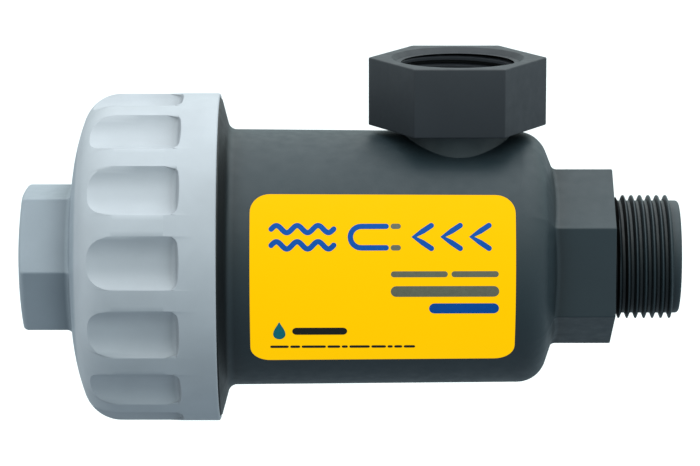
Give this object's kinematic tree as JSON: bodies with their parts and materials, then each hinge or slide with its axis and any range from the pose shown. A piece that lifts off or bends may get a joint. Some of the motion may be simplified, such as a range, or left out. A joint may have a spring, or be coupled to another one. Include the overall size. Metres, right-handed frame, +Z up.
{
  "type": "magnetic boiler filter",
  "caption": "Inline magnetic filter for a boiler: barrel body with a male threaded port, neck with a swivel union nut, and a scalloped screw cap that carries a magnet bar inside a strainer.",
  "frame": {"origin": "centre of the union gasket's upper face, on the swivel nut's axis, which is where the filter hangs from the boiler's pipe", "axes": "+Z up along the union nut's axis, out of its mouth; +X along the body towards the male port; -Y faces the label side"},
  "size_m": [0.1413, 0.0702, 0.0784],
  "materials": {
    "body_plastic": "satin glass-filled moulding, dark blue-grey",
    "nut_plastic": "satin glass-filled moulding, charcoal",
    "cap_plastic": "semi-gloss moulding, light blue-grey",
    "label_vinyl": "printed adhesive vinyl, yellow",
    "seal_rubber": "moulded EPDM",
    "stainless": "drawn and brushed stainless steel",
    "brass": "turned brass",
    "magnet_nickel": "nickel-plated sintered magnet",
    "pole_steel": "turned mild steel",
    "strainer_plastic": "natural moulding"
  },
  "bodies": {
    "root": {"housing": "body_plastic", "label": "label_vinyl", "union_gasket": "seal_rubber", "union_nut_clip": "stainless", "cap_o_ring": "seal_rubber"},
    "swivel_nut": {"union_nut": "nut_plastic"},
    "cartridge": {"strainer_mesh": "stainless", "strainer_foot": "strainer_plastic", "strainer_collar": "strainer_plastic", "strainer_o_ring": "seal_rubber"},
    "screw_cap": {"cap": "cap_plastic", "cap_insert": "brass", "magnet_tube": "stainless", "magnet_stud_plug": "brass", "magnet_tip_plug": "stainless", "magnet_1": "magnet_nickel", "magnet_2": "magnet_nickel", "magnet_3": "magnet_nickel", "magnet_4": "magnet_nickel", "magnet_5": "magnet_nickel", "magnet_6": "magnet_nickel", "pole_piece_1": "pole_steel", "pole_piece_2": "pole_steel", "pole_piece_3": "pole_steel", "pole_piece_4": "pole_steel", "pole_piece_5": "pole_steel", "pole_piece_6": "pole_steel", "pole_piece_7": "pole_steel"}
  },
  "joints": [
    {"name": "union_nut_swivel", "type": "hinge", "parent": "root", "child": "swivel_nut", "pos_m": [0, 0, 0], "axis": [0, 0, 1], "continuous": true},
    {"name": "cartridge_draw", "type": "slide", "parent": "root", "child": "cartridge", "axis": [-1, 0, 0], "range_m": [0, 0.104]},
    {"name": "cap_unscrew", "type": "hinge", "parent": "cartridge", "child": "screw_cap", "pos_m": [0, 0, -0.0367], "axis": [-1, 0, 0], "range_deg": [0, 9360]}
  ],
  "couplings": [
    {"joint": "cartridge_draw", "follows": "cap_unscrew", "m_per_rad": 0.00063662}
  ]
}
